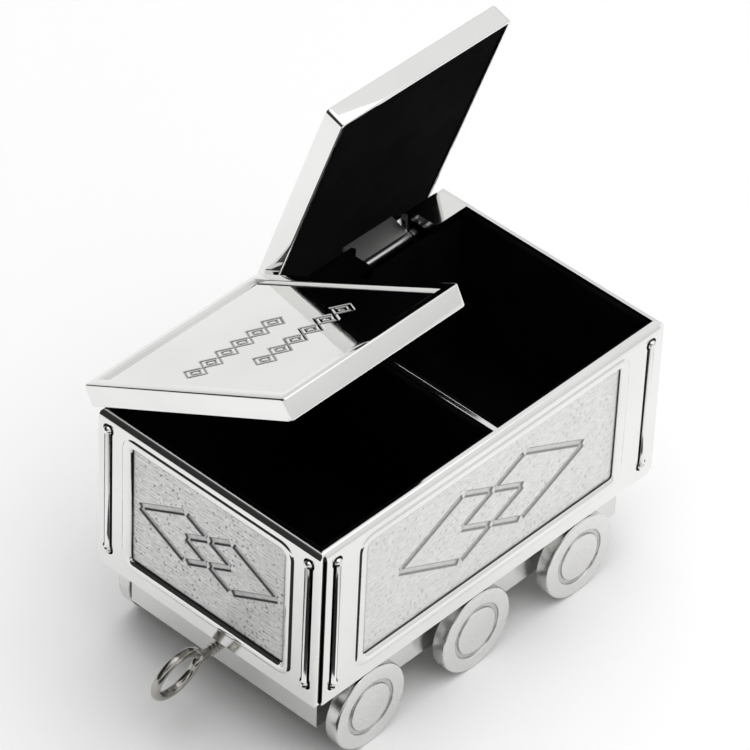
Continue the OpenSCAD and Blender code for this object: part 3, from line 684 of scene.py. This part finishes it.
# ---------------------------------------------------------------- screw eye
def screw_eye():
    """Round wire along the shank, an S-bend and the loop. Its radius is the wire's own, and on the
    shank a helical ridge: radius grows where (length over pitch minus angle) is near a whole turn."""
    wire, loop, bend, pitch = 0.64 * MM, 3.76 * MM, 1.3 * MM, 0.62 * MM
    lean = math.asin(bend / (loop + bend))
    start = (loop + bend) * math.cos(lean)
    stop = math.asin((wire + 0.35 * MM) / (loop - wire))
    shank_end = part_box("chassis")[0][0] - EYE_X + 1.2 * MM
    straight = np.linspace(shank_end, start + 0.02 * MM, 110)
    a = np.linspace(np.pi / 2, np.pi - lean, 24)
    b = np.linspace(2 * np.pi - lean, stop, 150)[1:]
    path = np.concatenate([np.stack([straight, 0 * straight], axis=-1),
                           np.stack([start + bend * np.cos(a), -bend + bend * np.sin(a)], axis=-1),
                           np.stack([loop * np.cos(b), loop * np.sin(b)], axis=-1)])
    along = np.gradient(path, axis=0)
    along /= np.linalg.norm(along, axis=1, keepdims=True)
    across = np.stack([-along[:, 1], along[:, 0]], axis=-1)
    s = np.concatenate([[0], np.cumsum(np.linalg.norm(np.diff(path, axis=0), axis=1))])
    sides = 40
    t = np.linspace(0, 2 * np.pi, sides, endpoint=False)[None, :]
    threads = np.clip((path[:, 0] - (start + 0.75 * MM)) / (0.3 * MM), 0, 1)[:, None]
    phase = (s[:, None] / pitch - t / (2 * np.pi)) % 1
    ridge = np.clip(1 - np.abs(phase - 0.5) / 0.32, 0, 1) ** 0.8
    radius = wire * (1 - threads) + threads * (0.55 * MM + ridge * 0.29 * MM)
    left = s[-1] - s
    radius = radius * np.sqrt(np.clip(1 - np.clip(1 - left / (0.25 * MM), 0, 1) ** 2 * 0.9, 0, 1))[:, None]
    off = radius * np.cos(t)
    x = path[:, :1] + across[:, :1] * off
    z = path[:, 1:] + across[:, 1:] * off
    y = radius * np.sin(t)
    turn = math.radians(12)
    points = np.stack([x, y, z], axis=-1).reshape(-1, 3)
    ends = np.array([[path[0, 0], 0, path[0, 1]], [path[-1, 0], 0, path[-1, 1]]])
    points = np.concatenate([points, ends])
    c, s_ = math.cos(turn), math.sin(turn)
    points = np.stack([EYE_X + points[:, 0], points[:, 1] * c - points[:, 2] * s_,
                       EYE_Z + points[:, 1] * s_ + points[:, 2] * c], axis=-1)
    rows = len(path)
    count = len(points)
    faces = [grid_faces(rows, sides, wrap_cols=True),
             fan(np.arange(sides), count - 2, flip=True),
             fan(np.arange(sides) + (rows - 1) * sides, count - 1)]
    return piece("threaded_eye", points, faces, WIRE, "wagon", ("screw_eye",), 50)


screw_eye()


# ---------------------------------------------------------------- edges of the plain metal nodes
for node, size in (("chassis", 0.25), ("divider", 0.15), ("bracket_front", 0.08), ("bracket_rear", 0.08),
                   ("tab_front", 0.06), ("tab_rear", 0.06)):
    obj = frame["nodes"][node]
    weld = obj.modifiers.new("weld", "WELD")
    weld.merge_threshold = 0.000002
    flats = obj.modifiers.new("flats", "DECIMATE")
    flats.decimate_type = "DISSOLVE"
    flats.angle_limit = math.radians(1.5)
    soften = obj.modifiers.new("soften", "BEVEL")
    soften.width = size * MM
    soften.segments = 3
    soften.limit_method = "ANGLE"
    soften.angle_limit = math.radians(50)
    soften.harden_normals = False


# ---------------------------------------------------------------- floor, light, camera
floor_mesh = bpy.data.meshes.new("floor")
floor_mesh.from_pydata([(-1.5, -1.5, 0), (1.5, -1.5, 0), (1.5, 1.5, 0), (-1.5, 1.5, 0)], [], [(0, 1, 2, 3)])
floor = bpy.data.objects.new("floor", floor_mesh)
bpy.context.scene.collection.objects.link(floor)
pale, nodes, links, bsdf, coords = new_material("pale_floor", (0.93, 0.93, 0.93), 0.0, 0.7)
bsdf.inputs["Specular IOR Level"].default_value = 0.1
floor_mesh.materials.append(pale)

world = bpy.data.worlds.new("studio")
bpy.context.scene.world = world
world.use_nodes = True
wn, wl = world.node_tree.nodes, world.node_tree.links
sky = wn.new("ShaderNodeTexCoord")
split = wn.new("ShaderNodeSeparateXYZ")
rise = wn.new("ShaderNodeValToRGB")
wl.new(sky.outputs["Generated"], split.inputs["Vector"])
wl.new(split.outputs["Z"], rise.inputs["Fac"])
stops = ((0.0, 0.80), (0.35, 0.86), (0.7, 0.95), (1.0, 1.0))
first, last = rise.color_ramp.elements[0], rise.color_ramp.elements[1]
first.position, first.color = stops[0][0], (*[stops[0][1]] * 3, 1)
last.position, last.color = stops[-1][0], (*[stops[-1][1]] * 3, 1)
for position, value in stops[1:-1]:
    rise.color_ramp.elements.new(position).color = (value, value, value, 1)
# The studio is open and dark on one side, and dark round the lens.
toward = wn.new("ShaderNodeVectorMath")
toward.operation = "DOT_PRODUCT"
toward.inputs[1].default_value = (-0.75, 0.66, 0)
wl.new(sky.outputs["Generated"], toward.inputs[0])
open_side = wn.new("ShaderNodeMapRange")
open_side.interpolation_type = "SMOOTHSTEP"
open_side.inputs["From Min"].default_value, open_side.inputs["From Max"].default_value = 0.3, 0.62
open_side.inputs["To Min"].default_value, open_side.inputs["To Max"].default_value = 1.0, 0.04
wl.new(toward.outputs["Value"], open_side.inputs["Value"])
lens = wn.new("ShaderNodeVectorMath")
lens.operation = "DOT_PRODUCT"
lens.inputs[1].default_value = (-0.566, -0.501, 0.655)
wl.new(sky.outputs["Generated"], lens.inputs[0])
lens_dark = wn.new("ShaderNodeMapRange")
lens_dark.interpolation_type = "SMOOTHSTEP"
lens_dark.inputs["From Min"].default_value, lens_dark.inputs["From Max"].default_value = 0.93, 0.985
lens_dark.inputs["To Min"].default_value, lens_dark.inputs["To Max"].default_value = 1.0, 0.08
wl.new(lens.outputs["Value"], lens_dark.inputs["Value"])
both = product(wn, wl, open_side.outputs["Result"], lens_dark.outputs["Result"])
shade = wn.new("ShaderNodeMix")
shade.data_type = "RGBA"
shade.blend_type = "MULTIPLY"
shade.inputs["Factor"].default_value = 1.0
wl.new(rise.outputs["Color"], shade.inputs["A"])
wl.new(both, shade.inputs["B"])
wl.new(shade.outputs["Result"], wn["Background"].inputs["Color"])
wn["Background"].inputs["Strength"].default_value = 0.92


def softbox(name, azimuth, elevation, distance, size, power, mirrored=True):
    """A soft light that looks at the tub from a direction, with or without its own reflection."""
    light = bpy.data.lights.new(name, "AREA")
    light.shape = "SQUARE"
    light.size = size
    light.energy = power
    obj = bpy.data.objects.new(name, light)
    a, e = math.radians(azimuth), math.radians(elevation)
    back = Vector((math.sin(a) * math.cos(e), -math.cos(a) * math.cos(e), math.sin(e)))
    obj.location = Vector((0, 0, 0.03)) + back * distance
    obj.rotation_mode = "QUATERNION"
    obj.rotation_quaternion = (-back).to_track_quat("-Z", "Y")
    obj.visible_glossy = mirrored
    bpy.context.scene.collection.objects.link(obj)


# The second light whitens the floor and has no reflection of its own.
softbox("overhead", 30, 78, 0.7, 0.6, 0.8)
softbox("floor_wash", 0, 88, 1.2, 2.0, 9.0, mirrored=False)

# A black flag low beside the camera, seen only in reflections: it draws the dark edges of the plate.
flag_mesh = bpy.data.meshes.new("black_flag")
flag_mesh.from_pydata([(-0.14, -0.14, 0.0002), (-0.028, -0.14, 0.0002), (-0.028, -0.028, 0.0002),
                       (-0.038, -0.021, 0.0002), (-0.038, -0.013, 0.0002), (-0.14, -0.013, 0.0002)],
                      [], [tuple(range(6))])
flag = bpy.data.objects.new("black_flag", flag_mesh)
bpy.context.scene.collection.objects.link(flag)
flag.visible_camera = flag.visible_diffuse = flag.visible_shadow = False
flag_mesh.materials.append(new_material("flag_cloth", (0.01, 0.01, 0.01), 0.0, 0.9)[0])


camera_data = bpy.data.cameras.new("camera")
camera = bpy.data.objects.new("camera", camera_data)
bpy.context.scene.collection.objects.link(camera)
azimuth, elevation, roll = math.radians(-48.48), math.radians(40.92), math.radians(2.65)
back = Vector((math.sin(azimuth) * math.cos(elevation), -math.cos(azimuth) * math.cos(elevation),
               math.sin(elevation)))
side = Vector((math.cos(azimuth), math.sin(azimuth), 0))
up = back.cross(side)
right = side * math.cos(roll) + up * math.sin(roll)
up = back.cross(right)
camera.matrix_world = Matrix.Translation(
    Vector((0, 0, TUB_LOW)) + right * -0.40 * MM + up * 18.44 * MM + back * 0.7396
) @ Matrix((right, up, back)).transposed().to_4x4()
camera_data.lens, camera_data.sensor_width = 265.4, 36
camera_data.clip_start, camera_data.clip_end = 0.05, 10
bpy.context.scene.camera = camera
bpy.context.scene.view_settings.view_transform = "Standard"
